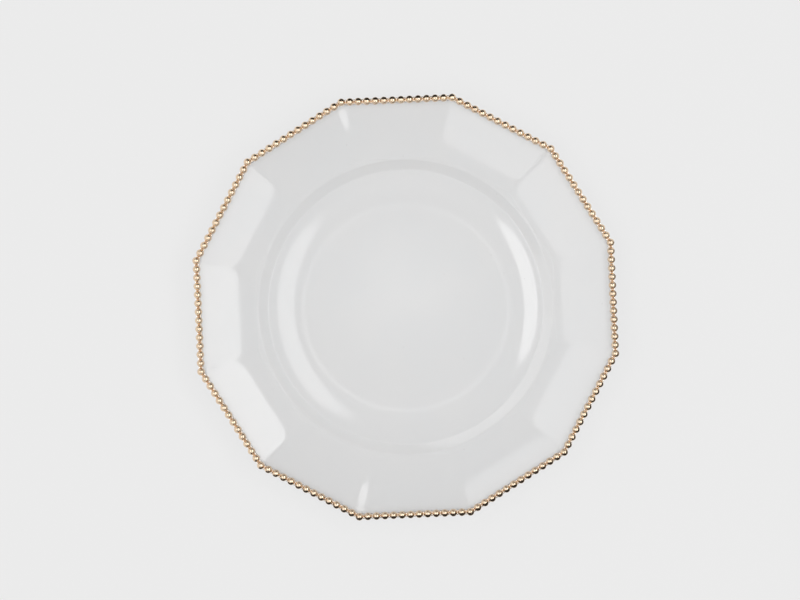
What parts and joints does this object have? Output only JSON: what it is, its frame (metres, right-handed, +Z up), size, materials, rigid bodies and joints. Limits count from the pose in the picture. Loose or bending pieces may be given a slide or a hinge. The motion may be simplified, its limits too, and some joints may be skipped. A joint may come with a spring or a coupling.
{
  "type": "charger plate",
  "caption": "Polygonal white porcelain charger plate with a round coved well, concave rim panels and a gold beaded edge, for setting under a dinner plate.",
  "frame": {"origin": "centre of the foot ring's standing plane, on the table", "axes": "+Z up out of the well; X and Y through the middles of opposite sides of the rim"},
  "size_m": [0.319, 0.319, 0.0254],
  "materials": {
    "porcelain": "glossy",
    "gold": "polished"
  },
  "bodies": {
    "root": {"plate_body": "porcelain", "edge_band": "gold", "bead_row_01": "gold", "bead_row_02": "gold", "bead_row_03": "gold", "bead_row_04": "gold", "bead_row_05": "gold", "bead_row_06": "gold", "bead_row_07": "gold", "bead_row_08": "gold", "bead_row_09": "gold", "bead_row_10": "gold", "bead_row_11": "gold", "bead_row_12": "gold"}
  },
  "joints": []
}
